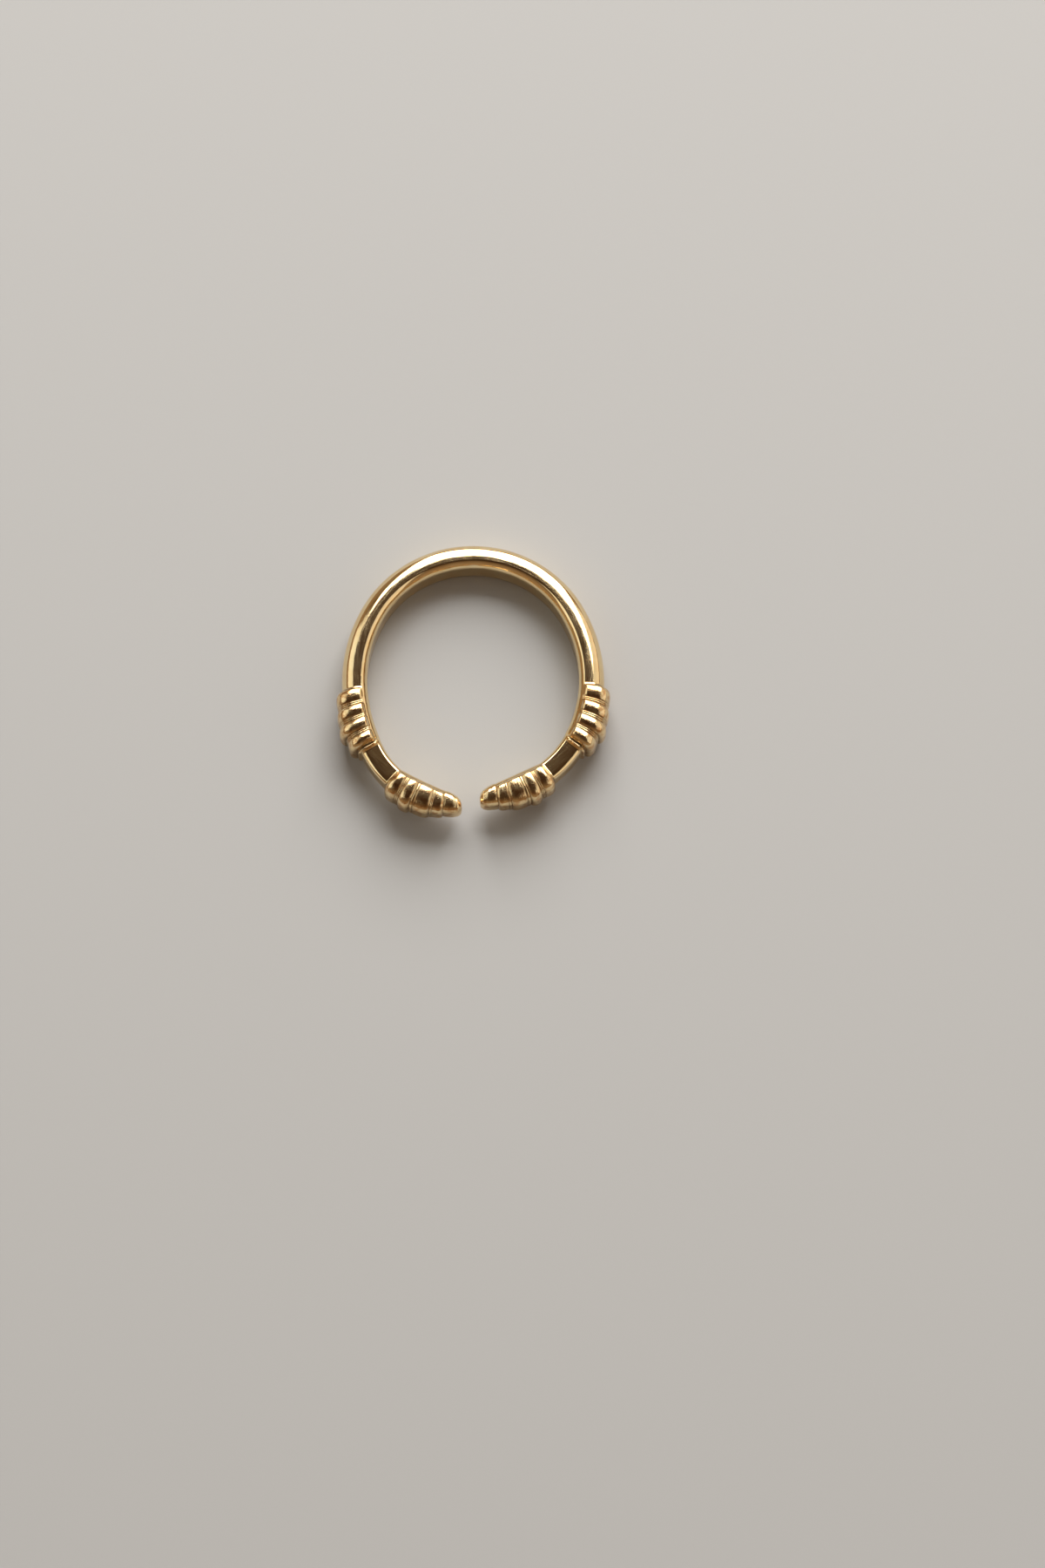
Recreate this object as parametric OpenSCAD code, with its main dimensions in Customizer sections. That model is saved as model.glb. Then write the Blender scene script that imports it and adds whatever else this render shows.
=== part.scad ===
// Open cuff ring, cast in one piece: a plain band round the back of the finger, then on each side
// a ribbed collar, a slim neck and a ribbed claw whose rounded tip faces the other across a gap.
// Millimetres. The finger's axis is Z, the middle of the back is at +Y and the gap is at -Y.

/* [Finger hole] */
// Radius of the true cylinder at the back of the finger hole
back_r = 7.9; // [7.6:0.1:8.6]
// Angle that the true cylinder takes up on each side of the middle of the back
back_half_angle = 60; // [56:1:64]
// Radius of the flatter stretch of inner wall at each side
side_r = 10.5; // [9.5:0.5:12]
// Angle from the middle of the back at which the band ends and the arms begin
arm_angle = 94; // [90:1:98]

/* [Bend of the arms] */
// Angle from the middle of the back at which an arm turns from its collar's bend to its claw's
turn_angle = 114; // [110:1:118]
// Inner radius of the left arm's collar, which was opened a little more than the right one
left_collar_r = 13.4; // [9:0.1:14]
// Inner radius of the left arm's neck and claw
left_claw_r = 6.3; // [6.1:0.1:8]
// Inner radius of the right arm's collar
right_collar_r = 9.6; // [9:0.1:14]
// Inner radius of the right arm's neck and claw
right_claw_r = 7.6; // [6.8:0.1:8]

/* [Band] */
// Thickness of the band, across the ring
band_t = 2.0; // [1.6:0.1:2.4]
// Height of the band, along the finger
band_h = 3.0; // [2.4:0.1:3.4]
// Height of the flat inner wall
wall_h = 1.9; // [1.6:0.1:2.2]
// How far the rounded inner edge runs out from the inner wall to its ridge
edge_in = 0.45; // [0.3:0.05:0.6]

/* [Collars] */
// How far the third and largest rib stands out from the outside of the band
rib_rise = 0.82; // [0.7:0.01:1.1]
// How far that rib stands up from the top of the band, and as far down from its underside
rib_lift = 0.35; // [0.3:0.05:0.5]
// Spacing of the collar's ribs, along the inner wall
rib_pitch = 1.1; // [1:0.01:1.2]
// Width of one collar rib
rib_w = 0.84; // [0.6:0.01:0.9]
// How far a furrow lies in from the outside of the smaller of the two ribs beside it
furrow_in = 0.1; // [0.06:0.01:0.2]
// How far a furrow lies below the top of the lower of those ribs, and above its underside
furrow_drop = 0.15; // [0.08:0.01:0.18]
// How far the fine wires in the furrows stand up
wire_rise = 0.05; // [0.03:0.01:0.08]
// Angle by which the ribs lean towards the tip on their way out from the inner wall
lean_angle = 7; // [0:0.5:9]
// Length of the plain seat between the last rib and the rim
seat_len = 0.1; // [0.05:0.01:0.3]
// Width of the rim that ends the collar
rim_w = 0.22; // [0.15:0.01:0.4]
// How far the rim stands out from the neck
rim_rise = 0.16; // [0.1:0.01:0.3]

/* [Necks] */
// Length of the neck between the rim and the claw
neck_len = 2.7; // [2.2:0.05:3.2]
// Thickness of the neck
neck_t = 1.75; // [1.4:0.05:1.9]
// Height of the neck
neck_h = 2.0; // [1.7:0.1:2.4]

/* [Claws] */
// Length of the claw from the neck to the end of its tip
claw_len = 5.05; // [4.6:0.05:5.4]
// Thickness of the claw over its second and thickest rib
claw_t = 2.46; // [2.2:0.02:2.7]
// Height of the claw over its first rib
claw_h = 3.1; // [2.8:0.1:3.4]
// How far the claw's straight inner face stands in from the curve of the neck, at its middle
claw_fill = 0.43; // [0.3:0.01:0.5]
// How far that face stands back from the curve of the neck at the tip, which slims the claw
tip_inset = 0.55; // [0.3:0.05:0.7]
// Distance from the curve of the neck to the point that the tip closes on
tip_centre = 1.2; // [1.1:0.05:1.4]

/* [Hidden] */
GOLD = [0.83, 0.66, 0.36];
// How far the sides of the band start inside its back, and an arm inside the band
JOINT = 0.05;
// How far the sides of the band lie inside the outline of its back, which they join
SEAM = 0.015;
// How far the inner wall and ridge of an arm lie inside the outline of the back
RELIEF = 0.04;
// Length of the neck over which the lean of the collar's ribs fades
LEAN_FADE = 1;
// Middle of the rounded inner edge: share of the way out to the ridge, and of the way up to it
EDGE_MID = [0.42, 0.6];
// Length of the shoulder on which a rib climbs from the ridge to its full rise, and its two steps
// as shares of that length and of that climb
SHOULDER = 0.3;
SHOULDER_STEPS = [[0.1, 0.55], [0.4, 0.9]];
// Steps round the outer quarter of a section, and the power that squares that quarter off: nearly
// round on the band and at the tips, flatter over the ribs and nearly a box on the necks
CURVE_STEPS = 5;
ROUND_POWER = 0.84;
COLLAR_POWER = 0.58;
CLAW_POWER = 0.62;
NECK_POWER = 0.34;
// Columns of COLLAR_RIBS, from the band to the neck: shares of rib_rise and of rib_lift
COLLAR_RIBS = [[0.63, 0.57], [0.81, 0.84], [1, 1], [0.6, 0.7]];
// Fine wires in each furrow of the collar
COLLAR_WIRES = 2;
// How far the seat has grown from the neck's size to the furrows', and the share of the rim's width
// that each of its edges takes
SEAT = 0.25;
RIM_EDGE = 0.15;
// Height of a claw's inner ridge as a share of its furrow's height
CLAW_RIDGE = 0.94;
// Columns of CLAW_RIBS: start and end as shares of claw_len, reach of claw_t, height of claw_h,
// then reach and height in the furrow that follows and the number of fine wires in it
CLAW_RIBS = [
    [0.000, 0.172, 0.94, 1.00, 0.89, 0.92, 2],
    [0.215, 0.362, 1.00, 0.98, 0.90, 0.88, 1],
    [0.402, 0.600, 0.93, 0.90, 0.84, 0.80, 1],
    [0.630, 0.760, 0.83, 0.80, 0.75, 0.70, 0]
];
// Columns of TIP: station as a share of the length left for the tip, then how far its section has
// closed towards the tip's centre, from 0 for the last furrow to 1 for the end
TIP = [[0.15, -0.04], [0.5, -0.02], [0.78, 0.09], [0.93, 0.3], [0.988, 0.62], [1, 0.93]];
// Stations across one rib, from edge to edge, with the middle at 0
RIB_STEPS = [-1, -0.82, -0.4, 0.4, 0.82, 1];

seat_start = (len(COLLAR_RIBS) - 1) * rib_pitch + rib_w;
rim_start = seat_start + seat_len;
neck_start = rim_start + rim_w;
claw_start = neck_start + neck_len;

// Unit vector across the ring at an angle from the middle of the back, on the right-hand side
function across(angle) = [sin(angle), cos(angle)];
function mix(a, b, share) = a * (1 - share) + b * share;

// Centres of the arcs that follow each other tangentially round the inner wall
function side_centre() = (back_r - side_r) * across(back_half_angle);
function collar_centre(collar_r) = side_centre() + (side_r - collar_r) * across(arm_angle);
function claw_centre(collar_r, claw_r) =
    collar_centre(collar_r) + (collar_r - claw_r) * across(turn_angle);

// Angle of the inner wall's normal, and the point of the wall, at a station along an arm
function collar_wall(collar_r) = collar_r * (turn_angle - arm_angle) * PI / 180;
function arm_normal(station, collar_r, claw_r) =
    station < collar_wall(collar_r)
        ? arm_angle + station / collar_r * 180 / PI
        : turn_angle + (station - collar_wall(collar_r)) / claw_r * 180 / PI;
function arm_wall(station, collar_r, claw_r) =
    let (normal = across(arm_normal(station, collar_r, claw_r)))
    station < collar_wall(collar_r)
        ? collar_centre(collar_r) + collar_r * normal
        : claw_centre(collar_r, claw_r) + claw_r * normal;
// How far a section leans towards the tip for each unit of its reach: it grows over the first rib
function lean(station) =
    tan(lean_angle) * max(0, min(station / rib_w, 1 - (station - neck_start) / LEAN_FADE, 1));

// Upper half of a section, from the inner wall over the ridge and the shoulder to the outermost
// point: x runs out from the inner wall and y runs up the finger. A rib's rise is more than its base.
function upper_half(inner, reach, rise, base, wall, edge, power) =
    let (span = reach - inner - edge, shoulder = min(SHOULDER, span / 3))
    concat(
        [
            [inner, wall],
            [inner + edge * EDGE_MID[0], mix(wall, base, EDGE_MID[1])],
            [inner + edge, base]
        ],
        [
            for (step = SHOULDER_STEPS)
            [inner + edge + shoulder * step[0], mix(base, rise, step[1])]
        ],
        [
            for (step = [0 : CURVE_STEPS])
            let (turn = 90 * (1 - step / CURVE_STEPS))
            [
                inner + edge + shoulder + (span - shoulder) * pow(cos(turn), power),
                rise * pow(sin(turn), power)
            ]
        ]
    );
function whole_section(half) =
    concat(half, [for (k = [len(half) - 2 : -1 : 0]) [half[k][0], -half[k][1]]]);

// Section of the band, drawn in by an inset on every side
function band_section(inset) =
    let (rise = band_h / 2 - inset, wall = wall_h / 2 - inset)
    whole_section(upper_half(inset, band_t - inset, rise, rise, wall, edge_in, ROUND_POWER));

// A level holds the inner face, reach, rise, base and power of a section, and a row of an arm holds
// its station and then its level
function collar_level(rise, lift, power) =
    [RELIEF, band_t + rise, band_h / 2 + lift, band_h / 2 - RELIEF, power];
function neck_level() = [RELIEF, neck_t, neck_h / 2, neck_h / 2 - RELIEF, NECK_POWER];
function root_level() = collar_level(-RELIEF, -RELIEF, ROUND_POWER);
function at(station, level) = concat([station], level);

// Rows over one rounded rib between two levels
function rib_rows(start, width, before, peak, after) = [
    for (step = RIB_STEPS)
    at(start + width * (1 + step) / 2, mix(step < 0 ? before : after, peak, sqrt(1 - step * step)))
];
// A level whose reach and rise have grown
function raised(level, rise) = level + rise * [0, 1, 1, 0, 0];
// Rows over the fine wires that fill a furrow
function wire_rows(start, width, count, level) = [
    for (k = [1 : 2 * count - 1])
    at(
        start + width * k / (2 * count),
        raised(level, k % 2 == 1 ? wire_rise : 0)
    )
];

function collar_peak(k) =
    collar_level(COLLAR_RIBS[k][0] * rib_rise, COLLAR_RIBS[k][1] * rib_lift, COLLAR_POWER);
// Furrow after one rib, in from the smaller of the two ribs beside it
function furrow(k) =
    let (one = collar_peak(k), two = collar_peak(k + 1))
    [
        one[0],
        min(one[1], two[1]) - furrow_in,
        min(one[2], two[2]) - furrow_drop,
        one[3],
        one[4]
    ];
function collar_rows() = [
    for (k = [0 : len(COLLAR_RIBS) - 1])
    let (
        start = k * rib_pitch,
        last = k == len(COLLAR_RIBS) - 1,
        before = k == 0 ? root_level() : furrow(k - 1),
        after = last ? seat_level() : furrow(k)
    )
    each concat(
        rib_rows(start, rib_w, before, collar_peak(k), after),
        last ? [] : wire_rows(start + rib_w, rib_pitch - rib_w, COLLAR_WIRES, furrow(k))
    )
];
function seat_level() = mix(neck_level(), furrow(len(COLLAR_RIBS) - 2), SEAT);
function rim_level() = raised(neck_level(), rim_rise);
function rim_rows() = [
    at(rim_start, seat_level()),
    at(rim_start + rim_w * RIM_EDGE, rim_level()),
    at(rim_start + rim_w * (1 - RIM_EDGE), rim_level())
];
function neck_rows() = [
    for (share = [0, 0.25, 0.5, 0.75])
    at(neck_start + neck_len * share, neck_level())
];

function claw_peak(k) = [
    RELIEF, CLAW_RIBS[k][2] * claw_t, CLAW_RIBS[k][3] * claw_h / 2, claw_base(k), CLAW_POWER
];
function claw_furrow(k) = [
    RELIEF, CLAW_RIBS[k][4] * claw_t, CLAW_RIBS[k][5] * claw_h / 2, claw_base(k), CLAW_POWER
];
function claw_base(k) = min(neck_h / 2 - RELIEF, CLAW_RIDGE * CLAW_RIBS[k][5] * claw_h / 2);
// Moves a row's inner face off the curve of the neck, so that the claw is straight inside and slims
function faced(r) =
    let (along = (r[0] - claw_start) / claw_len)
    r + (tip_inset * along - 4 * claw_fill * along * (1 - along)) * [0, 1, 0, 0, 0, 0];
function claw_rows() = [
    for (k = [0 : len(CLAW_RIBS) - 1])
    let (
        start = claw_start + CLAW_RIBS[k][0] * claw_len,
        end = claw_start + CLAW_RIBS[k][1] * claw_len,
        before = k == 0 ? neck_level() : claw_furrow(k - 1),
        wires = CLAW_RIBS[k][6]
    )
    for (
        r = concat(
            rib_rows(start, end - start, before, claw_peak(k), claw_furrow(k)),
            wires == 0
                ? []
                : wire_rows(end, claw_start + CLAW_RIBS[k + 1][0] * claw_len - end, wires, claw_furrow(k))
        )
    )
    faced(r)
];
function tip_rows() =
    let (
        last = len(CLAW_RIBS) - 1,
        start = claw_start + CLAW_RIBS[last][1] * claw_len,
        length = claw_start + claw_len - start,
        end_level = [tip_centre, tip_centre + RELIEF, RELIEF, RELIEF, ROUND_POWER]
    )
    [
        for (t = TIP)
        let (station = start + length * t[0])
        mix(faced(at(station, claw_furrow(last))), at(station, end_level), t[1])
    ];

function arm_rows() = concat(
    [at(-JOINT, root_level())],
    collar_rows(),
    rim_rows(),
    neck_rows(),
    claw_rows(),
    tip_rows()
);

// Section of an arm at one row: the inner edge keeps its shape and shrinks with the height
function arm_section(r) =
    let (size = r[4] / (band_h / 2), wall = size * (wall_h / 2 - RELIEF))
    whole_section(upper_half(r[1], r[2], r[3], r[4], wall, edge_in * min(1, size), r[5]));

module band() {
    rotate([0, 0, 90 - back_half_angle])
        rotate_extrude(angle = 2 * back_half_angle, $fn = 96)
            translate([back_r, 0])
                polygon(band_section(0));
    for (hand = [0, 1])
        mirror([hand, 0, 0])
            translate(side_centre())
                rotate([0, 0, 90 - side_end()])
                    rotate_extrude(angle = side_end() - side_start(), $fn = 96)
                        translate([side_r, 0])
                            polygon(band_section(SEAM));
}
// Each side of the band starts inside the back and runs on to the middle of the arm's first rib,
// which closes over it
function side_start() = back_half_angle - JOINT / side_r * 180 / PI;
function side_end() = arm_angle + rib_w / 2 / side_r * 180 / PI;

// One arm: collar, rim, neck and claw, as a skin over its rows of sections
module arm(collar_r, claw_r) {
    rows = arm_rows();
    count = len(arm_section(rows[0]));
    points = [
        for (r = rows)
        let (
            wall = arm_wall(r[0], collar_r, claw_r),
            normal = across(arm_normal(r[0], collar_r, claw_r)),
            out = normal + lean(r[0]) * [normal[1], -normal[0]]
        )
        for (p = arm_section(r))
        [wall[0] + out[0] * p[0], wall[1] + out[1] * p[0], p[1]]
    ];
    skin = [
        for (k = [0 : len(rows) - 2])
        for (j = [0 : count - 1])
        let (
            a = k * count + j,
            b = k * count + (j + 1) % count
        )
        each [[a, b, b + count], [a, b + count, a + count]]
    ];
    first = [for (j = [count - 1 : -1 : 0]) j];
    final = [for (j = [0 : count - 1]) (len(rows) - 1) * count + j];
    polyhedron(points = points, faces = concat([first], skin, [final]), convexity = 10);
}

module cuff_ring() {
    color(GOLD)
        union() {
            band();
            arm(right_collar_r, right_claw_r);
            mirror([1, 0, 0])
                arm(left_collar_r, left_claw_r);
        }
}

cuff_ring();
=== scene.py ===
"""Open cuff ring: the cast gold ring as a fine skin in polished metal, lying on a pale floor.

Sizes of the ring are in millimetres, as its maker states them. Meshes, lights and the camera are
in metres. The finger's axis is Z, the middle of the plain back is at +Y and the gap is at -Y.
"""

import logging
import math
from dataclasses import dataclass, field, replace
from enum import Enum

import bpy
import numpy as np
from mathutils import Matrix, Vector, noise

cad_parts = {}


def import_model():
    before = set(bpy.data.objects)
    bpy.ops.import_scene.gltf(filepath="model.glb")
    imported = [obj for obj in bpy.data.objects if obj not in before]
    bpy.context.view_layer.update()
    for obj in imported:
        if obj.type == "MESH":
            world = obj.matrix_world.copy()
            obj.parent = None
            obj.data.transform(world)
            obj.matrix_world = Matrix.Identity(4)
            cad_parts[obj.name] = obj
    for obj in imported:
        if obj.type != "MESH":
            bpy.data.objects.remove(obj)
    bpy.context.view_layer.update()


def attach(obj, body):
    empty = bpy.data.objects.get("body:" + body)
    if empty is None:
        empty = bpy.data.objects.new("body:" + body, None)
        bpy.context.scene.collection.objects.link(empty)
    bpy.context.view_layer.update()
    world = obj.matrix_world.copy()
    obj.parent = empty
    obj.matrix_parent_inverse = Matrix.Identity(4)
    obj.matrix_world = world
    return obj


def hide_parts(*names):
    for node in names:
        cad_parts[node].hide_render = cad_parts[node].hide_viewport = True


LOG = logging.getLogger("cuff_ring")
MM = 0.001
PHOTO_WIDTH = 1200
PHOTO_HEIGHT = 1800
Colour = tuple[float, float, float, float]


class Hand(Enum):
    """The two arms of the ring, by the side of the gap that they are on."""

    LEFT = -1
    RIGHT = 1


class Ornament(Enum):
    """What a stretch of the ring carries, for the finish that it gets."""

    PLAIN = 0
    RIBBED = 1


@dataclass(frozen=True)
class Level:
    """The measures that set the size and shape of one section, in millimetres.

    Attributes:
        inner: how far the inner face lies from the inner wall's line.
        reach: distance from that line to the outermost point.
        rise: height of the top above the mid plane.
        base: height of the inner ridge above the mid plane.
        power: how round the outer quarter is, from 0 for a box to 1 for an ellipse.
    """

    inner: float
    reach: float
    rise: float
    base: float
    power: float = 0.84

    def mixed(self, other: "Level", share: float) -> "Level":
        """Blends this level with another one.

        Args:
            other: the level to go towards.
            share: 0 for this level, 1 for the other one.

        Returns:
            The level in between.
        """
        keep = 1.0 - share
        return Level(
            self.inner * keep + other.inner * share,
            self.reach * keep + other.reach * share,
            self.rise * keep + other.rise * share,
            self.base * keep + other.base * share,
            self.power * keep + other.power * share,
        )

    def raised(self, height: float) -> "Level":
        """Returns this level with its reach and rise grown by a height."""
        return replace(self, reach=self.reach + height, rise=self.rise + height)


@dataclass(frozen=True)
class Outline:
    """The shape of every section: flat inner wall, rounded edge, ridge, shoulder and round back.

    Attributes:
        wall_h: height of the flat inner wall.
        edge_in: how far the rounded inner edge runs out to its ridge.
        band_h: height of the band, at which the wall has its full height.
        shoulder: length on which a rib climbs from the ridge to its rise.
        shoulder_power: how steep the foot of that climb is, steeper under 1.
        edge_bow: the bend of the inner edge, as shares of the way out and up.
        fade_points: points from the ridge outwards over which furrows and ribs take their finish.
        wall_points: points up the inner wall from the mid plane.
        edge_points: points round the inner edge.
        shoulder_points: points along a rib's climb.
        back_points: points round the outer quarter.
    """

    wall_h: float = 1.9
    edge_in: float = 0.45
    band_h: float = 3.0
    shoulder: float = 0.3
    shoulder_power: float = 0.8
    edge_bow: tuple[float, float] = (0.34, 0.70)
    fade_points: int = 3
    wall_points: int = 3
    edge_points: int = 6
    shoulder_points: int = 5
    back_points: int = 15

    def upper_half(self, level: Level) -> np.ndarray:
        """Points of the upper half of a section, from the inner wall round to the outermost point.

        Args:
            level: the section's measures.

        Returns:
            An array of x, out from the inner wall's line, and y, up the finger.
        """
        size = level.base / (self.band_h / 2)
        wall = size * self.wall_h / 2
        edge = self.edge_in * min(1.0, size)
        span = level.reach - level.inner - edge
        shoulder = min(self.shoulder, span / 3)
        climb = level.rise - level.base
        points = []
        for k in range(self.wall_points):
            points.append((level.inner, wall * k / self.wall_points))
        bow_x, bow_y = self.edge_bow
        for k in range(self.edge_points):
            t = k / self.edge_points
            x = 2 * t * (1 - t) * bow_x + t * t
            y = 2 * t * (1 - t) * bow_y + t * t
            points.append((level.inner + edge * x, wall + (level.base - wall) * y))
        for k in range(self.shoulder_points):
            t = k / self.shoulder_points
            swell = math.sin(t * math.pi / 2) ** self.shoulder_power
            points.append((level.inner + edge + shoulder * t, level.base + climb * swell))
        start = level.inner + edge + shoulder
        for k in range(self.back_points):
            turn = math.radians(90 * (1 - k / (self.back_points - 1)))
            out = max(math.cos(turn), 0.0) ** level.power
            up = max(math.sin(turn), 0.0) ** level.power
            points.append((start + (span - shoulder) * out, level.rise * up))
        return np.array(points)

    def outside(self) -> np.ndarray:
        """Returns how far each point of a section lies outside: 0 on the inner wall, 1 beyond."""
        inside = self.wall_points + self.edge_points
        half = np.zeros(inside + self.shoulder_points + self.back_points)
        half[inside:] = np.minimum(np.arange(1, len(half) - inside + 1) / self.fade_points, 1.0)
        return np.concatenate([half, half[1:-1][::-1]])

    def whole(self, level: Level) -> np.ndarray:
        """Points all round a section, starting on the inner wall at the mid plane."""
        half = self.upper_half(level)
        lower = half[1:-1][::-1] * np.array([1.0, -1.0])
        return np.concatenate([half, lower])


@dataclass(frozen=True)
class InnerWall:
    """The line of the inner wall, seen along the finger: arcs that run smoothly into each other.

    Attributes:
        back_r: radius of the true cylinder at the back.
        back_half_angle: angle that it takes up on each side of the middle of the back.
        side_r: radius of the flatter stretch at each side.
        arm_angle: angle at which the band ends and the arms begin.
        turn_angle: angle at which an arm turns from its collar's bend to its claw's.
        left_collar_r: radius along the left collar, which was opened a little more.
        left_claw_r: radius along the left neck and claw.
        right_collar_r: radius along the right collar.
        right_claw_r: radius along the right neck and claw.
    """

    back_r: float = 7.9
    back_half_angle: float = 60.0
    side_r: float = 10.5
    arm_angle: float = 94.0
    turn_angle: float = 114.0
    left_collar_r: float = 13.4
    left_claw_r: float = 6.3
    right_collar_r: float = 9.6
    right_claw_r: float = 7.6

    def band_length(self) -> float:
        """Returns the length of the wall from the middle of the back to where an arm begins."""
        back = math.radians(self.back_half_angle) * self.back_r
        return back + math.radians(self.arm_angle - self.back_half_angle) * self.side_r

    def arcs(self, hand: Hand) -> list[tuple[float, float]]:
        """Returns each arc's radius and its end angle, from the back to the tip."""
        left = hand is Hand.LEFT
        return [
            (self.back_r, self.back_half_angle),
            (self.side_r, self.arm_angle),
            (self.left_collar_r if left else self.right_collar_r, self.turn_angle),
            (self.left_claw_r if left else self.right_claw_r, 360.0),
        ]

    def place(self, hand: Hand, along: float) -> tuple[np.ndarray, np.ndarray]:
        """Finds a point of the wall and the direction that points out of the finger hole there.

        Args:
            hand: which side of the ring.
            along: distance along the wall from the middle of the back.

        Returns:
            The point and the outward unit vector, both across the ring.
        """
        centre = np.zeros(2)
        angle, radius, left = 0.0, self.back_r, along
        for radius_now, end in self.arcs(hand):
            out = np.array([math.sin(math.radians(angle)), math.cos(math.radians(angle))])
            centre = centre + (radius - radius_now) * out
            radius = radius_now
            length = math.radians(end - angle) * radius
            if left <= length:
                break
            left -= length
            angle = end
        angle += math.degrees(left / radius)
        out = np.array([math.sin(math.radians(angle)), math.cos(math.radians(angle))])
        point = centre + radius * out
        side = np.array([hand.value, 1.0])
        return point * side, out * side


@dataclass(frozen=True)
class Station:
    """One section of the ring.

    Attributes:
        along: distance along the inner wall from the middle of the back.
        level: the section's measures.
        furrow: how deep it lies between ribs, from 0 on a crest to 1 at the bottom, which sets how
            much painted shade and patina it gets.
        ornament: what this stretch of the ring carries.
    """

    along: float
    level: Level
    furrow: float
    ornament: Ornament


@dataclass(frozen=True)
class Rib:
    """One rounded rib, between the levels on its two sides.

    Attributes:
        start: distance along the wall at which it begins.
        width: its width along the wall.
        before: the level at its foot on the band's side.
        peak: the level over its middle.
        after: the level at its foot on the tip's side.
        patina_and_shade_power: how quickly the furrow's painted shade and patina fade up its
            flanks.
        steps: sections across it.
    """

    start: float
    width: float
    before: Level
    peak: Level
    after: Level
    patina_and_shade_power: float = 1.5
    steps: int = 14

    def stations(self) -> list[Station]:
        """Returns the sections over the rib, closer together where it climbs."""
        found = []
        for k in range(self.steps + 1):
            across = -math.cos(math.pi * k / self.steps)
            swell = math.sqrt(max(1.0 - across**2, 0.0))
            foot = self.before if across < 0 else self.after
            level = foot.mixed(self.peak, swell)
            along = self.start + self.width * (1 + across) / 2
            # Painted shade and patina: darkest at the rib's feet, gone on its crest.
            patina_and_shade = (1.0 - swell) ** self.patina_and_shade_power
            found.append(Station(along, level, patina_and_shade, Ornament.RIBBED))
        return found


@dataclass(frozen=True)
class Furrow:
    """The fine wires that fill the furrow between two ribs.

    Attributes:
        start: distance along the wall at which it begins.
        width: its width along the wall.
        wires: number of wires in it, side by side.
        wire_rise: how far they stand up.
        level: the level of the furrow's floor.
        wire_power: how square the top of a wire is, squarer towards 0.
        wire_shine: share of the furrow's painted shade and patina that a wire's crest is spared.
        steps: sections across one wire.
    """

    start: float
    width: float
    wires: int
    wire_rise: float
    level: Level
    wire_power: float = 0.7
    wire_shine: float = 0.9
    steps: int = 8

    def stations(self) -> list[Station]:
        """Returns the sections over the wires, each a half round."""
        found = []
        count = max(self.wires, 1) * self.steps
        for k in range(1, count):
            along = self.start + self.width * k / count
            swell = 0.0
            if self.wires:
                swell = abs(math.sin(math.pi * k / self.steps)) ** self.wire_power
            level = self.level.raised(self.wire_rise * swell)
            # A wire's crest keeps little of the furrow's painted shade and patina.
            found.append(Station(along, level, 1.0 - self.wire_shine * swell, Ornament.RIBBED))
        return found


@dataclass(frozen=True)
class Band:
    """The plain back of the ring, between the two collars.

    Attributes:
        thickness: its thickness across the ring.
        height: its height along the finger.
        pitch: spacing of its sections along the inner wall.
    """

    thickness: float = 2.0
    height: float = 3.0
    pitch: float = 0.16

    def level(self) -> Level:
        """Returns the band's section, which stays the same all the way round."""
        return Level(0.0, self.thickness, self.height / 2, self.height / 2)

    def stations(self, length: float) -> list[Station]:
        """Returns the sections from the middle of the back to a collar, that far away."""
        count = round(length / self.pitch)
        return [
            Station(length * k / count, self.level(), 0.0, Ornament.PLAIN) for k in range(count)
        ]


@dataclass(frozen=True)
class Neck:
    """The slim plain stretch between a collar and its claw.

    Attributes:
        length: its length along the inner wall.
        thickness: its thickness across the ring.
        height: its height along the finger.
        power: how square it is, nearly a box.
        steps: sections along it.
    """

    length: float = 2.7
    thickness: float = 1.75
    height: float = 2.0
    power: float = 0.34
    steps: int = 22

    def level(self) -> Level:
        """Returns the neck's section, flatter on top than the band's."""
        return Level(0.0, self.thickness, self.height / 2, self.height / 2, self.power)

    def stations(self, start: float) -> list[Station]:
        """Returns the sections of the neck, which begins at that distance along the wall."""
        return [
            Station(start + self.length * k / self.steps, self.level(), 0.0, Ornament.PLAIN)
            for k in range(self.steps)
        ]


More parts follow.
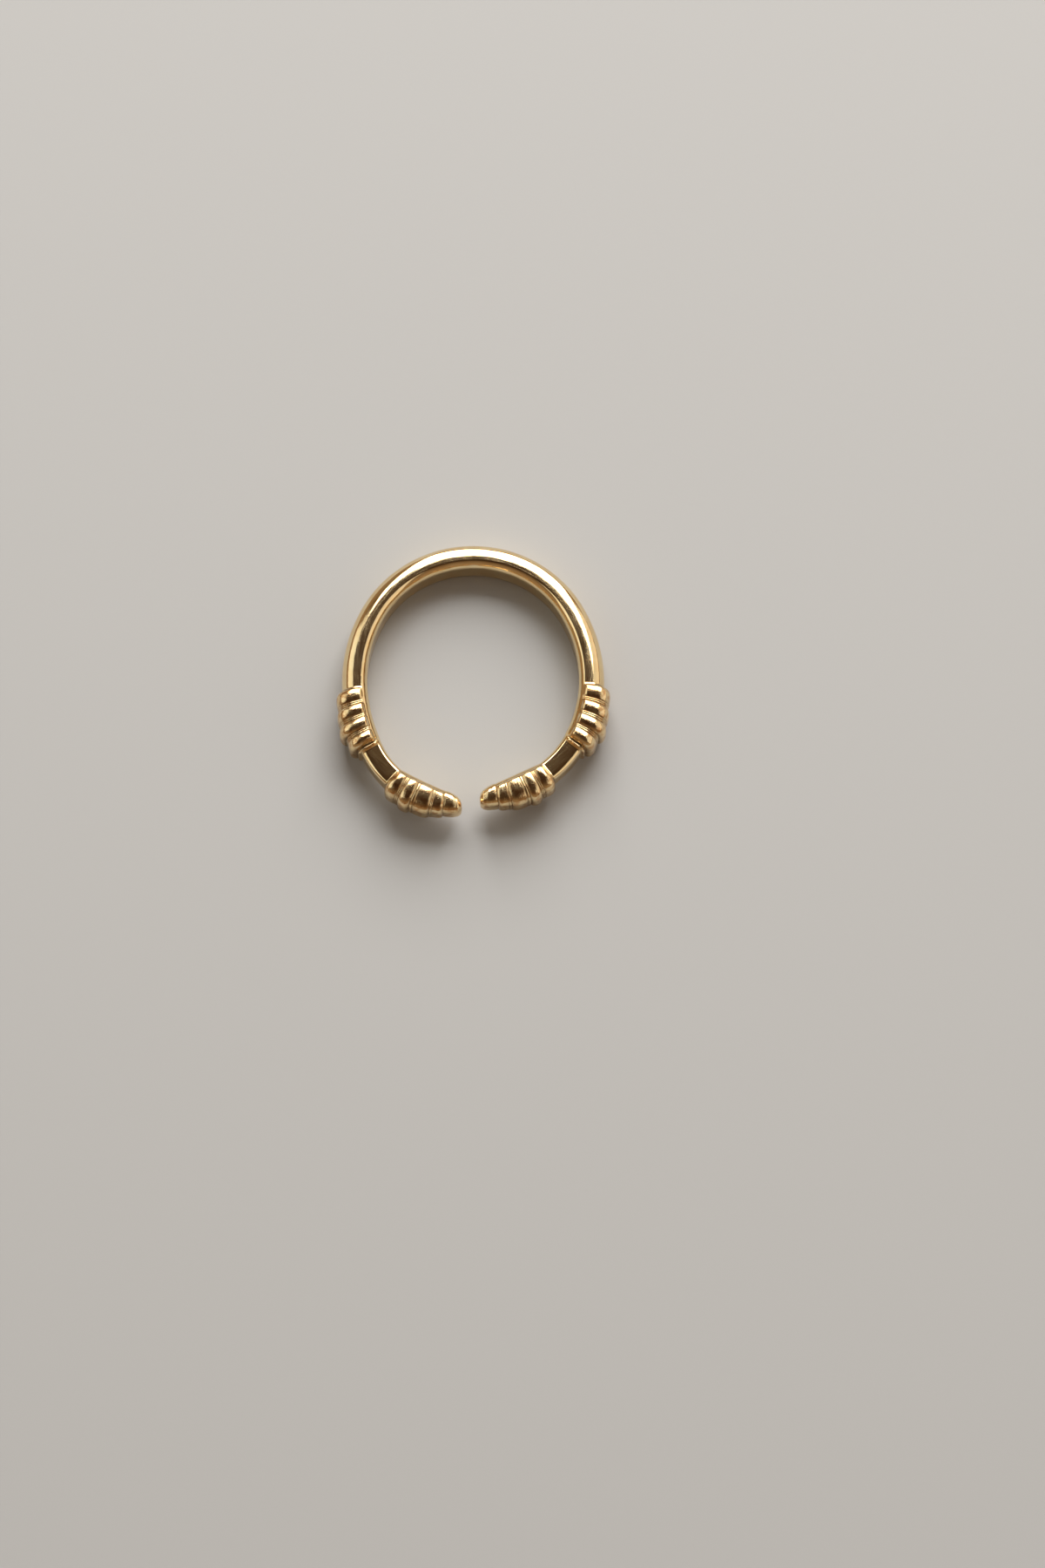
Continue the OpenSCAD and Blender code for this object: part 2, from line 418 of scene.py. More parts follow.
@dataclass(frozen=True)
class Collar:
    """Four rounded ribs with fine wires between them, then a plain seat and a rim.

    Attributes:
        rib_rise: how far the largest rib stands out from the outside of the band.
        rib_lift: how far it stands up from the top of the band.
        rib_pitch: spacing of the ribs along the inner wall.
        rib_w: width of one rib.
        furrow_in: how far a furrow lies in from the outside of the smaller rib beside it.
        furrow_drop: how far it lies below the top of the lower of those ribs.
        wire_rise: how far the wires in the furrows stand up.
        power: how square the ribs and furrows are, seen along the wall.
        wires: number of wires in a furrow.
        seat_len: length of the plain seat after the last rib.
        seat_share: how far the seat has grown from the neck's size to the furrows'.
        rim_w: width of the rim.
        rim_rise: how far it stands out from the neck.
        rim_power: how square its top is, squarer towards 0.
        rim_patina_and_shade: how dark its foot is painted, as shade and patina.
        rim_steps: sections across it.
        lean_angle: angle by which the ribs lean towards the tip on their way out, in degrees.
        lean_fade: length of the neck over which that lean fades.
        peaks: each rib's share of rib_rise and of rib_lift, from the band to the neck.
    """

    rib_rise: float = 0.82
    rib_lift: float = 0.35
    rib_pitch: float = 1.1
    rib_w: float = 0.84
    furrow_in: float = 0.10
    furrow_drop: float = 0.15
    wire_rise: float = 0.05
    power: float = 0.58
    wires: int = 2
    seat_len: float = 0.1
    seat_share: float = 0.25
    rim_w: float = 0.22
    rim_rise: float = 0.16
    rim_power: float = 0.5
    rim_patina_and_shade: float = 0.6
    rim_steps: int = 8
    lean_angle: float = 7.0
    lean_fade: float = 1.0
    peaks: tuple[tuple[float, float], ...] = ((0.63, 0.57), (0.81, 0.84), (1.0, 1.0), (0.6, 0.7))

    def length(self) -> float:
        """Returns the length of the whole collar along the inner wall."""
        ribs = (len(self.peaks) - 1) * self.rib_pitch + self.rib_w
        return ribs + self.seat_len + self.rim_w

    def lean_at(self, station: float) -> float:
        """Returns how far a section leans towards the tip, for each unit of its reach.

        Args:
            station: distance along the wall from the start of the first rib.

        Returns:
            The lean, which grows over the first rib and fades again on the neck.
        """
        grown = station / self.rib_w
        fading = 1.0 - (station - self.length()) / self.lean_fade
        return math.tan(math.radians(self.lean_angle)) * max(min(grown, fading, 1.0), 0.0)

    def grown(self, band: Band, rise: float, lift: float) -> Level:
        """Returns the band's section, grown outwards by a rise and up and down by a lift."""
        half = band.height / 2
        return Level(0.0, band.thickness + rise, half + lift, half, self.power)

    def furrow(self, one: Level, two: Level) -> Level:
        """Returns the level of the furrow between two ribs, just under the lower of them."""
        reach = min(one.reach, two.reach) - self.furrow_in
        rise = min(one.rise, two.rise) - self.furrow_drop
        return Level(0.0, reach, max(rise, one.base), one.base, self.power)

    def stations(self, start: float, band: Band, neck: Neck) -> list[Station]:
        """Builds the collar's sections.

        Args:
            start: distance along the wall at which the first rib begins.
            band: the band that the collar grows from.
            neck: the neck that follows it.

        Returns:
            The sections from the first rib to the end of the rim.
        """
        tops = [self.grown(band, a * self.rib_rise, b * self.rib_lift) for a, b in self.peaks]
        furrows = [self.furrow(one, two) for one, two in zip(tops, tops[1:])]
        seat = neck.level().mixed(furrows[-1], self.seat_share)
        feet = [band.level(), *furrows, seat]
        found = []
        for k, top in enumerate(tops):
            begin = start + k * self.rib_pitch
            found += Rib(begin, self.rib_w, feet[k], top, feet[k + 1]).stations()
            if k < len(furrows):
                gap = self.rib_pitch - self.rib_w
                groove = Furrow(begin + self.rib_w, gap, self.wires, self.wire_rise, furrows[k])
                found += groove.stations()
        rim_start = start + self.length() - self.rim_w
        for k in range(self.rim_steps):
            share = k / self.rim_steps
            swell = math.sin(math.pi * share) ** self.rim_power
            foot = seat.mixed(neck.level(), share)
            along = rim_start + self.rim_w * share
            level = foot.raised(self.rim_rise * swell)
            # Painted shade and patina at the rim's foot.
            patina_and_shade = self.rim_patina_and_shade * (1.0 - swell)
            found.append(Station(along, level, patina_and_shade, Ornament.RIBBED))
        return found


@dataclass(frozen=True)
class ClawRib:
    """One rib of a claw and the furrow after it.

    Attributes:
        start: where it begins, as a share of the claw's length.
        end: where it ends.
        reach: how far it stands out, as a share of the claw's thickness.
        height: its height, as a share of the claw's.
        furrow_reach: how far the furrow after it stands out.
        furrow_height: that furrow's height.
        wires: number of fine wires in the furrow.
    """

    start: float
    end: float
    reach: float
    height: float
    furrow_reach: float
    furrow_height: float
    wires: int


@dataclass(frozen=True)
class Claw:
    """Four ribs that shrink towards a rounded tip, on a straight inner face.

    Attributes:
        length: from the neck to the end of the tip, along the curve of the neck.
        thickness: its thickness over the second and thickest rib.
        height: its height over the first rib.
        fill: how far the straight inner face stands in from that curve, at its middle.
        tip_inset: how far the face stands back from the curve at the tip.
        tip_centre: distance from the curve to the point that the tip closes on.
        ridge_share: height of the inner ridge as a share of the furrow's height.
        wire_rise: how far the wires in the furrows stand up.
        power: how square the ribs and furrows are, seen along the wall.
        last_closed: how far the tip's last section has closed towards that point.
        tip_steps: sections along the tip.
        ribs: the ribs from the neck to the tip.
        tip: share of the tip's length, and how far a section there has closed.
    """

    length: float = 5.05
    thickness: float = 2.46
    height: float = 3.1
    fill: float = 0.43
    tip_inset: float = 0.55
    tip_centre: float = 1.2
    ridge_share: float = 0.94
    wire_rise: float = 0.05
    power: float = 0.62
    last_closed: float = 0.985
    tip_steps: int = 26
    ribs: tuple[ClawRib, ...] = (
        ClawRib(0.000, 0.172, 0.94, 1.00, 0.89, 0.92, 2),
        ClawRib(0.215, 0.362, 1.00, 0.98, 0.90, 0.88, 1),
        ClawRib(0.402, 0.600, 0.93, 0.90, 0.84, 0.80, 1),
        ClawRib(0.630, 0.760, 0.83, 0.80, 0.75, 0.70, 0),
    )
    tip: tuple[tuple[float, float], ...] = (
        (0.0, 0.0),
        (0.15, -0.04),
        (0.5, -0.02),
        (0.78, 0.09),
        (0.93, 0.3),
        (0.988, 0.62),
        (1.0, 1.0),
    )

    def base(self, rib: ClawRib, neck: Neck) -> float:
        """Returns the height of the inner ridge along one rib."""
        return min(neck.height / 2, self.ridge_share * rib.furrow_height * self.height / 2)

    def faced(self, station: Station, start: float) -> Station:
        """Moves a section's inner face: the claw is straight inside and slims to its tip."""
        share = (station.along - start) / self.length
        level = station.level
        inner = level.inner + self.tip_inset * share - 4 * self.fill * share * (1 - share)
        return replace(station, level=replace(level, inner=inner))

    def stations(self, start: float, neck: Neck) -> list[Station]:
        """Builds the claw's sections.

        Args:
            start: distance along the wall at which the claw begins.
            neck: the neck that it grows from.

        Returns:
            The sections from the first rib to the end of the tip.
        """
        found: list[Station] = []
        before = neck.level()
        for k, rib in enumerate(self.ribs):
            base = self.base(rib, neck)
            half = self.height / 2
            reach = rib.furrow_reach * self.thickness
            peak = Level(0.0, rib.reach * self.thickness, rib.height * half, base, self.power)
            furrow = Level(0.0, reach, rib.furrow_height * half, base, self.power)
            begin = start + rib.start * self.length
            end = start + rib.end * self.length
            found += Rib(begin, end - begin, before, peak, furrow).stations()
            if k + 1 < len(self.ribs):
                gap = start + self.ribs[k + 1].start * self.length - end
                found += Furrow(end, gap, rib.wires, self.wire_rise, furrow).stations()
            before = furrow
        return [self.faced(station, start) for station in found] + self.tip_stations(start, before)

    def tip_stations(self, start: float, furrow: Level) -> list[Station]:
        """Returns the sections of the tip, which close from the last furrow to a point."""
        begin = start + self.ribs[-1].end * self.length
        length = start + self.length - begin
        point = Level(self.tip_centre, self.tip_centre, 0.0, 0.0)
        stops = np.array(self.tip)
        found = []
        for k in range(1, self.tip_steps):
            share = math.sin(math.pi / 2 * k / self.tip_steps)
            closed = float(np.interp(share, stops[:, 0], stops[:, 1]))
            open_one = Station(begin + length * share, furrow, 0.0, Ornament.RIBBED)
            station = self.faced(open_one, start)
            level = station.level.mixed(point, min(closed, self.last_closed))
            found.append(replace(station, level=level))
        return found


@dataclass(frozen=True)
class Casting:
    """The small unevenness that casting and hand polishing leave on the metal.

    Attributes:
        ribbed_swell: depth of the broad unevenness on ribs and wires.
        ribbed_grain: depth of the fine unevenness there.
        plain_swell: depth of the broad unevenness on plain metal.
        plain_grain: depth of the fine unevenness there.
        swell_size: size of one broad swell.
        grain_size: size of one grain.
    """

    ribbed_swell: float = 0.012
    ribbed_grain: float = 0.001
    plain_swell: float = 0.006
    plain_grain: float = 0.0005
    swell_size: float = 0.9
    grain_size: float = 0.22

    def offset(self, point: np.ndarray, ribbed: float) -> float:
        """How far a point of the skin lies off its designed place.

        Args:
            point: the point, in millimetres.
            ribbed: 0 on plain metal, 1 on ribs and wires.

        Returns:
            The offset along the skin's outward direction, in millimetres.
        """
        swell = self.plain_swell + (self.ribbed_swell - self.plain_swell) * ribbed
        grain = self.plain_grain + (self.ribbed_grain - self.plain_grain) * ribbed
        broad = noise.noise(Vector(point) / self.swell_size)
        fine = noise.noise(Vector(point) / self.grain_size)
        return swell * broad + grain * fine


@dataclass(frozen=True)
class RingSkin:
    """The whole ring as one closed skin, from the left tip round the back to the right tip.

    Attributes:
        name: the name of the piece.
        wall: the line of its inner wall.
        outline: the shape of its sections.
        band: its plain back.
        collar: the collar that each arm begins with.
        neck: the neck of each arm.
        claw: the claw that each arm ends in.
        casting: the unevenness of its metal.
        shortest_step: length under which two sections or two points count as one.
    """

    name: str = "ring_casting"
    wall: InnerWall = field(default_factory=InnerWall)
    outline: Outline = field(default_factory=Outline)
    band: Band = field(default_factory=Band)
    collar: Collar = field(default_factory=Collar)
    neck: Neck = field(default_factory=Neck)
    claw: Claw = field(default_factory=Claw)
    casting: Casting = field(default_factory=Casting)
    shortest_step: float = 1e-6

    def half_stations(self) -> list[Station]:
        """Returns the sections of one half of the ring, from the middle of the back to the tip."""
        arm_start = self.wall.band_length()
        neck_start = arm_start + self.collar.length()
        claw_start = neck_start + self.neck.length
        found = self.band.stations(arm_start)
        found += self.collar.stations(arm_start, self.band, self.neck)
        found += self.neck.stations(neck_start)
        found += self.claw.stations(claw_start, self.neck)
        return found[:1] + [
            station
            for last, station in zip(found, found[1:])
            if station.along - last.along > self.shortest_step
        ]

    def loop(self, hand: Hand, station: Station) -> np.ndarray:
        """Returns the points round one section, in place on the ring, in millimetres."""
        wall, out = self.wall.place(hand, station.along)
        outline = self.outline.whole(station.level)
        tipwards = hand.value * np.array([out[1], -out[0]])
        lean = self.collar.lean_at(station.along - self.wall.band_length())
        loop = np.zeros((len(outline), 3))
        loop[:, :2] = wall + outline[:, :1] * (out + lean * tipwards)
        loop[:, 2] = outline[:, 1]
        middle = loop.mean(axis=0)
        ribbed = 1.0 if station.ornament is Ornament.RIBBED else 0.0
        for point in loop:
            away = point - middle
            size = np.linalg.norm(away)
            if size > self.shortest_step:
                point += away / size * self.casting.offset(point, ribbed)
        return loop

    def faces(self, rows: int, count: int) -> list[tuple[int, ...]]:
        """Returns the skin's faces, with a fan that closes each tip.

        Args:
            rows: number of sections.
            count: number of points round one section.

        Returns:
            The faces, as numbers of points. The two tips' own points follow the sections' points.
        """
        faces: list[tuple[int, ...]] = []
        for i in range(rows - 1):
            for j in range(count):
                a = i * count + j
                b = i * count + (j + 1) % count
                faces.append((a, a + count, b + count, b))
        first, last = rows * count, rows * count + 1
        for j in range(count):
            k = (j + 1) % count
            faces.append((first, j, k))
            faces.append((last, (rows - 1) * count + k, (rows - 1) * count + j))
        return faces

    def build(self) -> bpy.types.Object:
        """Builds the ring's mesh.

        Returns:
            The object. Its attribute "furrow" says how deep each point lies in a furrow, for the
            painted shade and patina there, and its attribute "ribbed" which points belong to ribs
            and wires.
        """
        half = self.half_stations()
        order = [(Hand.LEFT, s) for s in reversed(half[1:])] + [(Hand.RIGHT, s) for s in half]
        loops = [self.loop(hand, station) for hand, station in order]
        tips = np.array([loops[0].mean(axis=0), loops[-1].mean(axis=0)])
        points = np.concatenate([*loops, tips]) * MM
        mesh = bpy.data.meshes.new(self.name)
        mesh.from_pydata(points.tolist(), [], self.faces(len(loops), len(loops[0])))
        outside = self.outline.outside()
        marks = {
            "furrow": [station.furrow for _, station in order],
            "ribbed": [float(station.ornament is Ornament.RIBBED) for _, station in order],
        }
        for name, values in marks.items():
            shares = np.append(np.outer(values, outside).ravel(), (0.0, 0.0))
            mesh.attributes.new(name, "FLOAT", "POINT").data.foreach_set("value", shares)
        mesh.shade_smooth()
        mesh.update()
        ring = bpy.data.objects.new(self.name, mesh)
        bpy.context.scene.collection.objects.link(ring)
        return ring

    def dress(self, ring: bpy.types.Object) -> None:
        """Gives the ring its polished gold."""
        ring.data.materials.append(PolishedGold().material())


class Nodes:
    """The node tree of a material or of the room, with short calls for the nodes in use."""

    def __init__(self, owner: bpy.types.ID) -> None:
        """Turns on the owner's node tree and empties it."""
        owner.use_nodes = True
        self.tree = owner.node_tree
        self.tree.nodes.clear()

    def add(self, kind: str, **settings: object) -> bpy.types.Node:
        """Adds a node.

        Args:
            kind: the node's type, without its ShaderNode prefix.
            settings: the node's properties.

        Returns:
            The new node.
        """
        node = self.tree.nodes.new("ShaderNode" + kind)
        for key, value in settings.items():
            setattr(node, key, value)
        return node

    def link(self, out: bpy.types.NodeSocket, into: bpy.types.NodeSocket) -> None:
        """Links an output socket to an input socket."""
        self.tree.links.new(out, into)

    def math(self, operation: str, first: object, second: object = 0.0) -> bpy.types.NodeSocket:
        """Adds a Math node.

        Args:
            operation: the node's operation.
            first: a socket or a number.
            second: a socket or a number.

        Returns:
            The result's socket.
        """
        node = self.add("Math", operation=operation)
        for k, value in enumerate((first, second)):
            if isinstance(value, bpy.types.NodeSocket):
                self.link(value, node.inputs[k])
            else:
                node.inputs[k].default_value = value
        return node.outputs[0]

    def ramp(
        self, value: bpy.types.NodeSocket, low: float, high: float, to_low: float, to_high: float
    ) -> bpy.types.NodeSocket:
        """Maps a value from one range to another, and clamps it.

        Args:
            value: the socket to map.
            low: the value that becomes to_low.
            high: the value that becomes to_high.
            to_low: the result at low.
            to_high: the result at high.

        Returns:
            The result's socket.
        """
        node = self.add("MapRange")
        self.link(value, node.inputs["Value"])
        node.inputs["From Min"].default_value = low
        node.inputs["From Max"].default_value = high
        node.inputs["To Min"].default_value = to_low
        node.inputs["To Max"].default_value = to_high
        return node.outputs["Result"]

    def blend(
        self, share: bpy.types.NodeSocket, first: object, second: object
    ) -> bpy.types.NodeSocket:
        """Mixes two colours.

        Args:
            share: the socket with the share of the second colour.
            first: a socket or a colour.
            second: a socket or a colour.

        Returns:
            The mixed colour's socket.
        """
        node = self.add("Mix", data_type="RGBA")
        self.link(share, node.inputs[0])
        sockets = [s for s in node.inputs if s.type == "RGBA"]
        for socket, value in zip(sockets, (first, second)):
            if isinstance(value, bpy.types.NodeSocket):
                self.link(value, socket)
            else:
                socket.default_value = value
        return next(s for s in node.outputs if s.type == "RGBA")

    def noise(
        self, coordinate: bpy.types.NodeSocket, scale: float, detail: float = 2.0
    ) -> bpy.types.NodeSocket:
        """Adds a noise texture.

        Args:
            coordinate: the socket with the coordinate.
            scale: the noise's scale.
            detail: its number of octaves.

        Returns:
            The noise's value.
        """
        node = self.add("TexNoise")
        self.link(coordinate, node.inputs["Vector"])
        node.inputs["Scale"].default_value = scale
        node.inputs["Detail"].default_value = detail
        return node.outputs["Fac"]

    def stretched(
        self, parts: tuple[bpy.types.NodeSocket, ...], scales: tuple[float, ...]
    ) -> bpy.types.NodeSocket:
        """Joins three numbers into a coordinate.

        Args:
            parts: the numbers' sockets.
            scales: what each is multiplied by.

        Returns:
            The coordinate's socket.
        """
        joined = self.add("CombineXYZ")
        for k, (part, scale) in enumerate(zip(parts, scales)):
            self.link(self.math("MULTIPLY", part, scale), joined.inputs[k])
        return joined.outputs[0]

    def bump(
        self,
        height: bpy.types.NodeSocket,
        depth: float,
        normal: bpy.types.NodeSocket | None = None,
    ) -> bpy.types.NodeSocket:
        """Adds a bump.

        Args:
            height: the socket with the bump's height, from 0 to 1.
            depth: the height of a full bump, in metres.
            normal: the normal that the bump is laid on, or None for the surface's own.

        Returns:
            The bumped normal's socket.
        """
        node = self.add("Bump")
        node.inputs["Distance"].default_value = depth
        node.inputs["Strength"].default_value = 1.0
        self.link(height, node.inputs["Height"])
        if normal is not None:
            self.link(normal, node.inputs["Normal"])
        return node.outputs["Normal"]


@dataclass(frozen=True)
class PolishedGold:
    """Polished yellow gold plate: hairlines round the hoop, stained ribs and furrows darkened with
    painted shade and patina.

    Attributes:
        bright: the gold where it is palest.
        warm: the gold where it is deepest.
        furrow: the dark brown towards the bottom of a furrow, painted shade together with patina.
        stain: the gold in the stains that ribs have.
        cloud_scale: scale of the change from bright to warm.
        cloud_span: values of its noise between which that change runs.
        stain_scale: scale of the stains.
        stain_span: values of their noise between which a stain sets in.
        stain_most: how strong a stain can be.
        patina_and_shade_most: how strong the furrow's painted shade and patina can be.
        roughness: roughness between hairlines and in them.
        worn_span: values of the hairlines' noise between which that change runs.
        furrow_rough: what the bottom of a furrow adds to that.
        ribbed_rough: what ribs and wires add to it.
        hoop_scales: scales of the hairlines, across, round and up the ring.
        streak_scales: scales of the ribs' streaks, in the same order.
        speck_scale: scale of the specks.
        speck_span: values of their noise between which a speck sets in.
        plain_specks: share of the specks' depth that plain metal has.
        hairline_depth: depth of the hairlines, in metres.
        streak_depth: depth of the streaks, in metres.
        speck_depth: depth of the specks, in metres.
    """

    bright: Colour = (0.91, 0.72, 0.42, 1.0)
    warm: Colour = (0.86, 0.64, 0.34, 1.0)
    # Painted shade together with patina, for the bottoms of furrows.
    furrow: Colour = (0.20, 0.11, 0.04, 1.0)
    stain: Colour = (0.56, 0.29, 0.11, 1.0)
    cloud_scale: float = 700.0
    cloud_span: tuple[float, float] = (0.35, 0.65)
    stain_scale: float = 2200.0
    stain_span: tuple[float, float] = (0.46, 0.62)
    stain_most: float = 0.75
    patina_and_shade_most: float = 0.8
    roughness: tuple[float, float] = (0.09, 0.16)
    worn_span: tuple[float, float] = (0.35, 0.7)
    furrow_rough: float = 0.12
    ribbed_rough: float = 0.06
    hoop_scales: tuple[float, float, float] = (13000.0, 4.0, 13000.0)
    streak_scales: tuple[float, float, float] = (1500.0, 90.0, 1500.0)
    speck_scale: float = 9000.0
    speck_span: tuple[float, float] = (0.60, 0.74)
    plain_specks: float = 0.3
    hairline_depth: float = 2.4e-6
    streak_depth: float = 14.0e-6
    speck_depth: float = 2.5e-6

    def cylindrical(
        self, nodes: Nodes, place: bpy.types.NodeSocket
    ) -> tuple[bpy.types.NodeSocket, ...]:
        """Returns a place's distance from the finger's axis, its angle round it and its height.

        Args:
            nodes: the material's nodes.
            place: the socket with the place on the ring.

        Returns:
            The sockets of the distance, the angle and the height.
        """
        split = nodes.add("SeparateXYZ")
        nodes.link(place, split.inputs[0])
        x, y, z = split.outputs
        squares = nodes.math("ADD", nodes.math("POWER", x, 2.0), nodes.math("POWER", y, 2.0))
        return nodes.math("SQRT", squares), nodes.math("ARCTAN2", x, y), z

    def colour(
        self,
        nodes: Nodes,
        place: bpy.types.NodeSocket,
        furrow: bpy.types.NodeSocket,
        ribbed: bpy.types.NodeSocket,
    ) -> bpy.types.NodeSocket:
        """Builds the metal's colour.

        Args:
            nodes: the material's nodes.
            place: the socket with the place on the ring.
            furrow: the socket that says how deep a point lies in a furrow.
            ribbed: the socket that says whether it is on a rib.

        Returns:
            The colour's socket.
        """
        cloud = nodes.noise(place, self.cloud_scale)
        clouded = nodes.ramp(cloud, *self.cloud_span, 0.0, 1.0)
        gold = nodes.blend(clouded, self.bright, self.warm)
        stains = nodes.noise(place, self.stain_scale, detail=4.0)
        patches = nodes.ramp(stains, *self.stain_span, 0.0, self.stain_most)
        gold = nodes.blend(nodes.math("MULTIPLY", patches, ribbed), gold, self.stain)
        # Furrows darken towards their bottoms: painted shade together with patina.
        return nodes.blend(nodes.math("MULTIPLY", furrow, self.patina_and_shade_most), gold, self.furrow)

    def material(self) -> bpy.types.Material:
        """Builds the finish's material."""
        material = bpy.data.materials.new("polished_gold")
        nodes = Nodes(material)
        place = nodes.add("TexCoord").outputs["Object"]
        parts = self.cylindrical(nodes, place)
        hairlines = nodes.noise(nodes.stretched(parts, self.hoop_scales), 1.0, detail=3.0)
        streaks = nodes.noise(nodes.stretched(parts, self.streak_scales), 1.0, detail=4.0)
        specks = nodes.ramp(nodes.noise(place, self.speck_scale), *self.speck_span, 0.0, 1.0)
        furrow = nodes.add("Attribute", attribute_name="furrow").outputs["Fac"]
        ribbed = nodes.add("Attribute", attribute_name="ribbed").outputs["Fac"]

        shader = nodes.add("BsdfPrincipled")
        shader.inputs["Metallic"].default_value = 1.0
        nodes.link(self.colour(nodes, place, furrow, ribbed), shader.inputs["Base Color"])
        worn = nodes.ramp(hairlines, *self.worn_span, *self.roughness)
        dull = nodes.math("MULTIPLY", furrow, self.furrow_rough)
        rough = nodes.math("ADD", worn, dull)
        rough = nodes.math("ADD", rough, nodes.math("MULTIPLY", ribbed, self.ribbed_rough))
        nodes.link(rough, shader.inputs["Roughness"])

        normal = nodes.bump(hairlines, self.hairline_depth)
        normal = nodes.bump(nodes.math("MULTIPLY", streaks, ribbed), self.streak_depth, normal)
        pitted = nodes.ramp(ribbed, 0.0, 1.0, self.plain_specks, 1.0)
        pits = nodes.math("MULTIPLY", specks, pitted)
        nodes.link(nodes.bump(pits, -self.speck_depth, normal), shader.inputs["Normal"])
        out = nodes.add("OutputMaterial")
        nodes.link(shader.outputs[0], out.inputs["Surface"])
        return material


@dataclass(frozen=True)
class PaleFloor:
    """The plain pale floor that the ring lies on, in metres.

    Attributes:
        size: its width and length.
        colour: its colour.
        roughness: how matt it is.
        behind: distance behind the ring's lowest point from which its back is looked for.
    """

    size: float = 6.0
    colour: Colour = (0.42, 0.42, 0.42, 1.0)
    roughness: float = 0.9
    behind: float = 0.004

    def material(self) -> bpy.types.Material:
        """Builds the floor's matt material."""
        material = bpy.data.materials.new("pale_floor")
        nodes = Nodes(material)
        shader = nodes.add("BsdfPrincipled")
        shader.inputs["Base Color"].default_value = self.colour
        shader.inputs["Roughness"].default_value = self.roughness
        out = nodes.add("OutputMaterial")
        nodes.link(shader.outputs[0], out.inputs["Surface"])
        return material

    def build(self, ring: bpy.types.Object) -> bpy.types.Object:
        """Lays the floor under the ring, touching a collar and the back of the band.

        Args:
            ring: the ring that rests on the floor.

        Returns:
            The floor.
        """
        points = np.array([v.co for v in ring.data.vertices])
        low = points[points[:, 2].argmin()]
        back = points[points[:, 1] > low[1] + self.behind]
        slope = ((back[:, 2] - low[2]) / (back[:, 1] - low[1])).min()
        mesh = bpy.data.meshes.new("floor")
        half = self.size / 2
        corners = [
            (x, y, low[2] + (y - low[1]) * slope)
            for x, y in ((-half, -half), (half, -half), (half, half), (-half, half))
        ]
        mesh.from_pydata(corners, [], [(0, 1, 2, 3)])
        floor = bpy.data.objects.new("floor", mesh)
        bpy.context.scene.collection.objects.link(floor)
        return floor

    def dress(self, floor: bpy.types.Object) -> None:
        """Gives the floor its matt surface."""
        floor.data.materials.append(self.material())


@dataclass(frozen=True)
class Softbox:
    """One soft area light, aimed at the ring.

    Attributes:
        name: the light's name.
        azimuth: turn about the finger's axis, 0 over the back and 90 on the right, in degrees.
        elevation: angle above the floor, in degrees.
        distance: distance from the ring, in metres.
        width: the light's width, in metres.
        height: its height, in metres.
        power: its power, in watts.
        colour: its colour.
    """

    name: str
    azimuth: float
    elevation: float
    distance: float
    width: float
    height: float
    power: float
    colour: tuple[float, float, float] = (1.0, 1.0, 1.0)

    def build(self) -> bpy.types.Object:
        """Hangs the light."""
        lamp = bpy.data.lights.new(self.name, "AREA")
        lamp.shape = "RECTANGLE"
        lamp.size, lamp.size_y = self.width, self.height
        lamp.energy = self.power
        lamp.color = self.colour
        light = bpy.data.objects.new(self.name, lamp)
        a, e = math.radians(self.azimuth), math.radians(self.elevation)
        away = Vector((math.sin(a) * math.cos(e), math.cos(a) * math.cos(e), math.sin(e)))
        light.location = away * self.distance
        light.rotation_euler = away.to_track_quat("Z", "Y").to_euler()
        light.visible_camera = False
        bpy.context.scene.collection.objects.link(light)
        return light


@dataclass(frozen=True)
class Studio:
    """Plain soft light: a bright window behind the back of the ring and dimmer light elsewhere.

    Attributes:
        boxes: the area lights.
        ceiling: the room's colour overhead.
        walls: its colour near the floor.
        wall_span: heights between which the walls darken to the ceiling, as sines of elevations.
    """

    boxes: tuple[Softbox, ...] = (
        Softbox("window", 10.0, 39.5, 0.7, 0.64, 0.62, 9.0, (1.0, 0.985, 0.955)),
        Softbox("left_wall", -78.0, 40.0, 0.8, 0.8, 0.6, 1.4, (0.97, 1.0, 0.93)),
        Softbox("right_wall", 86.0, 34.0, 0.8, 1.3, 0.8, 2.3, (1.0, 0.96, 0.88)),
    )
    ceiling: Colour = (0.05, 0.028, 0.014, 1.0)
    walls: Colour = (0.30, 0.20, 0.12, 1.0)
    wall_span: tuple[float, float] = (0.25, 0.92)

    def build(self) -> None:
        """Hangs the lights, sets the room round them and the way that its light is shown."""
        for box in self.boxes:
            box.build()
        self.paint_room()
        view = bpy.context.scene.view_settings
        view.view_transform = "Standard"
        view.look = "None"

    def paint_room(self) -> None:
        """Paints the room round the ring: warm walls that darken towards the ceiling."""
        world = bpy.data.worlds.new("room")
        nodes = Nodes(world)
        split = nodes.add("SeparateXYZ")
        nodes.link(nodes.add("TexCoord").outputs["Generated"], split.inputs[0])
        height = nodes.ramp(split.outputs[2], *self.wall_span, 0.0, 1.0)
        background = nodes.add("Background")
        nodes.link(nodes.blend(height, self.walls, self.ceiling), background.inputs["Color"])
        out = nodes.add("OutputWorld")
        nodes.link(background.outputs[0], out.inputs["Surface"])
        bpy.context.scene.world = world


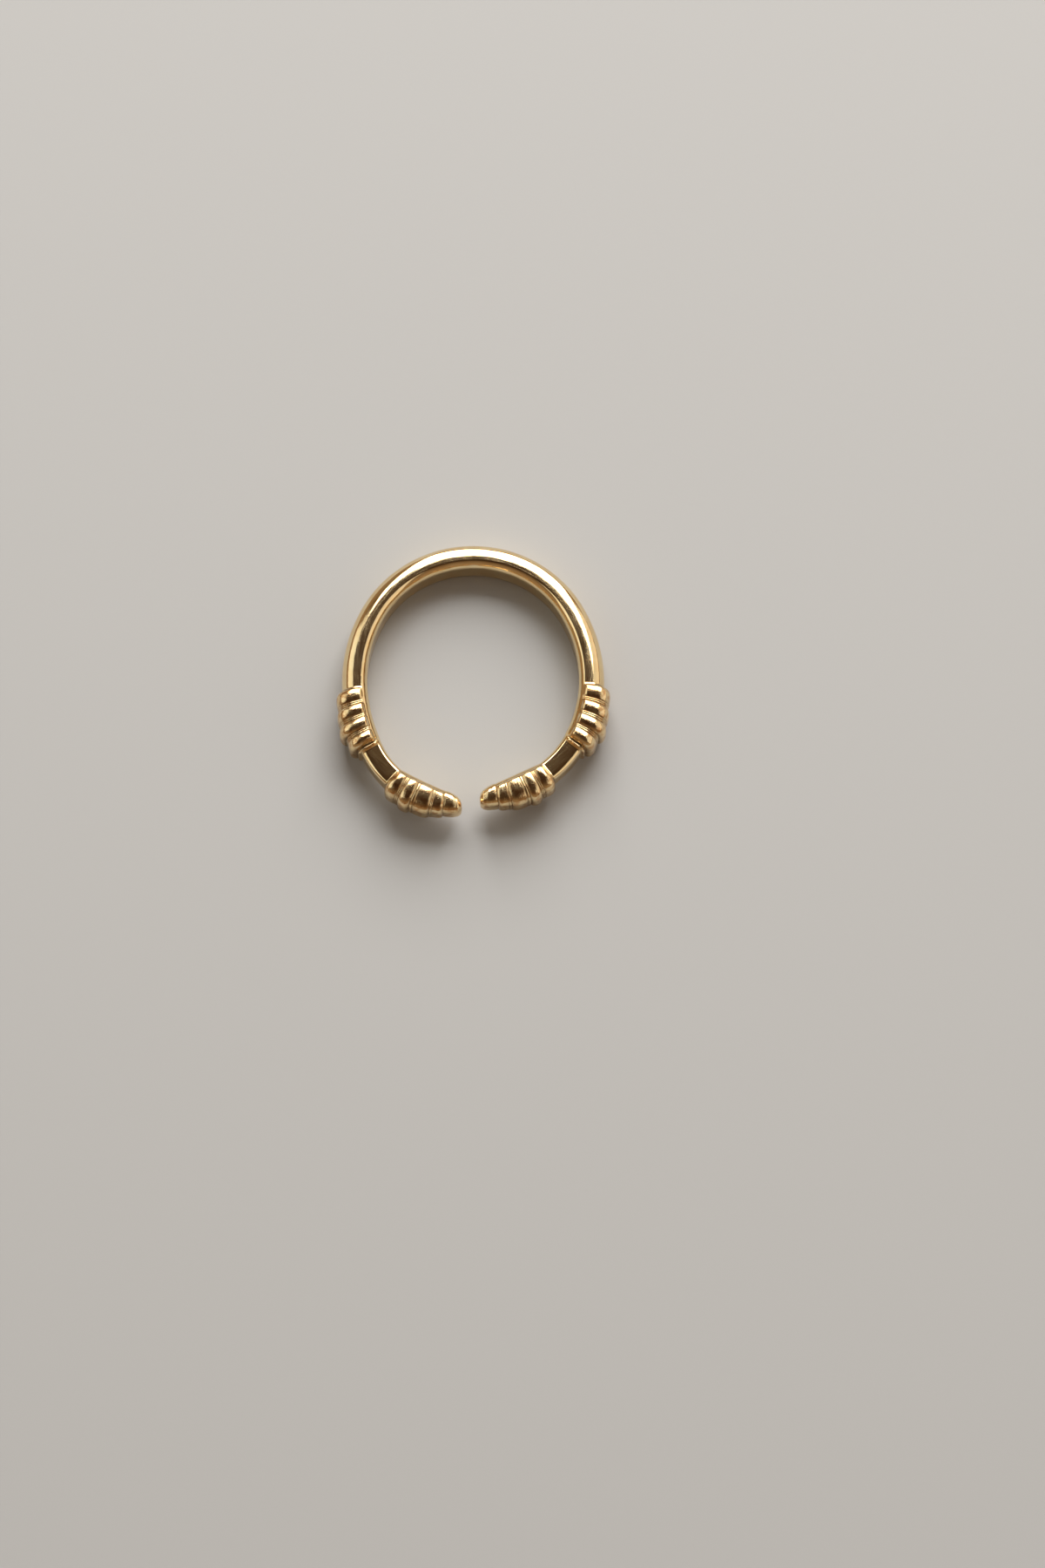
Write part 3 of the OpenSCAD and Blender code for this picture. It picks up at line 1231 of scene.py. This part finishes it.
@dataclass(frozen=True)
class PhotoCamera:
    """The camera at the photograph's angle.

    Attributes:
        azimuth: turn about the finger's axis, 0 looking along +Y, in degrees.
        elevation: angle above the floor, in degrees.
        distance: distance to the ring, in metres.
        pixel: size of one pixel of the photograph at the ring, in metres.
        origin_px: where the frame's origin lies in the photograph, in pixels.
    """

    azimuth: float = -1.0
    elevation: float = 72.0
    distance: float = 0.5
    pixel: float = 0.068e-3
    origin_px: tuple[float, float] = (543.0, 765.8)

    def build(self) -> bpy.types.Object:
        """Makes the camera and sets it as the scene's own."""
        a, e = math.radians(self.azimuth), math.radians(self.elevation)
        back = Vector((math.sin(a) * math.cos(e), -math.cos(a) * math.cos(e), math.sin(e)))
        turn = back.to_track_quat("Z", "Y")
        right, up = turn @ Vector((1, 0, 0)), turn @ Vector((0, 1, 0))
        across = (PHOTO_WIDTH / 2 - self.origin_px[0]) * self.pixel
        down = (PHOTO_HEIGHT / 2 - self.origin_px[1]) * self.pixel
        target = right * across - up * down
        data = bpy.data.cameras.new("photo_camera")
        data.lens = data.sensor_width * self.distance / (PHOTO_HEIGHT * self.pixel)
        data.clip_start, data.clip_end = 0.01, 20.0
        camera = bpy.data.objects.new("photo_camera", data)
        camera.location = target + back * self.distance
        camera.rotation_euler = turn.to_euler()
        bpy.context.scene.collection.objects.link(camera)
        bpy.context.scene.camera = camera
        return camera


def main() -> None:
    """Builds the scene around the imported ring."""
    logging.basicConfig(level=logging.INFO, format="%(name)s: %(message)s")
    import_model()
    skin = RingSkin()
    ring = skin.build()
    skin.dress(ring)
    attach(ring, "root")
    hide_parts("cuff_ring")
    LOG.info("%s: %d faces", ring.name, len(ring.data.polygons))
    ground = PaleFloor()
    floor = ground.build(ring)
    ground.dress(floor)
    LOG.info("%s: laid under the ring", floor.name)
    studio = Studio()
    studio.build()
    LOG.info("studio: %d lights", len(studio.boxes))
    camera = PhotoCamera().build()
    LOG.info("%s: %.1f mm lens", camera.name, camera.data.lens)


if __name__ == "__main__":
    main()
